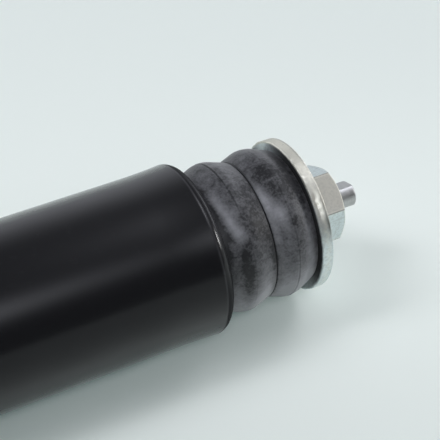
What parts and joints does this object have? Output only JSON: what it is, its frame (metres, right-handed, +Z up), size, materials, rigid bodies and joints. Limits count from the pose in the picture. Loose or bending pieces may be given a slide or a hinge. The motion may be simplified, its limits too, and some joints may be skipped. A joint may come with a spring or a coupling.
{
  "type": "shock absorber",
  "caption": "Twin-tube hydraulic shock absorber with a black dust cover, a rubber-cushioned stem mount and a lower eye.",
  "frame": {"origin": "centre of the lower eye's bore", "axes": "+X along the rod towards the stem, +Y along the lower eye's bore, +Z up as it lies"},
  "size_m": [0.3844, 0.0468, 0.047],
  "materials": {
    "black_paint": "semi-gloss",
    "zinc_plate": "bright zinc",
    "cushion_rubber": "dusty matte",
    "bush_rubber": "matte",
    "rod_steel": "polished",
    "plain_steel": "turned",
    "spring_steel": "blued",
    "sintered_iron": "matte",
    "bearing_bronze": "satin",
    "seal_rubber": "smooth",
    "ring_plastic": "matte",
    "bump_foam": "matte foam"
  },
  "bodies": {
    "reservoir": {"lower_eye": "black_paint", "eye_bush": "bush_rubber", "eye_weld": "black_paint", "base_cap": "black_paint", "base_weld": "black_paint", "reservoir_tube": "black_paint", "working_cylinder": "plain_steel", "base_valve_body": "sintered_iron", "base_valve_pin": "plain_steel", "base_valve_nut": "plain_steel", "compression_discs": "spring_steel", "compression_backing_washer": "plain_steel", "intake_spring": "spring_steel", "rod_guide": "sintered_iron", "guide_bush": "bearing_bronze", "guide_o_ring": "seal_rubber", "oil_seal": "seal_rubber", "seal_garter_spring": "spring_steel", "seal_plate": "plain_steel"},
    "eye_sleeve": {"eye_sleeve": "zinc_plate"},
    "intake_plate": {"intake_plate": "spring_steel"},
    "piston_ring": {"piston_ring": "ring_plastic"},
    "rod": {"piston_rod": "rod_steel", "piston": "sintered_iron", "piston_nut": "plain_steel", "rebound_discs": "spring_steel", "rebound_backing_washer": "plain_steel", "bypass_spring": "spring_steel", "bypass_stop_washer": "plain_steel", "rebound_stop_collar": "plain_steel", "rebound_cushion": "seal_rubber", "bump_stop": "bump_foam", "support_washer": "plain_steel", "cover_cup": "black_paint", "dust_cover": "black_paint", "spacer_sleeve": "plain_steel", "lower_cushion": "cushion_rubber", "upper_cushion": "cushion_rubber", "top_washer": "zinc_plate", "top_nut": "zinc_plate"},
    "bypass_plate": {"bypass_plate": "spring_steel"}
  },
  "joints": [
    {"name": "rod_slide", "type": "slide", "parent": "reservoir", "child": "piston_ring", "axis": [1, 0, 0], "range_m": [-0.06, 0.04]},
    {"name": "rod_spin", "type": "hinge", "parent": "piston_ring", "child": "rod", "pos_m": [0, 0, 0], "axis": [1, 0, 0], "continuous": true},
    {"name": "sleeve_twist", "type": "hinge", "parent": "reservoir", "child": "eye_sleeve", "pos_m": [0, 0, 0], "axis": [0, 1, 0], "range_deg": [-15, 15], "stiffness_Nm_per_rad": 20},
    {"name": "intake_lift", "type": "slide", "parent": "reservoir", "child": "intake_plate", "axis": [1, 0, 0], "range_m": [0, 0.0008], "stiffness_N_per_m": 400, "springref_m": -0.001, "deforming": ["intake_spring"]},
    {"name": "bypass_lift", "type": "slide", "parent": "rod", "child": "bypass_plate", "axis": [1, 0, 0], "range_m": [0, 0.0008], "stiffness_N_per_m": 400, "springref_m": -0.001, "deforming": ["bypass_spring"]}
  ]
}
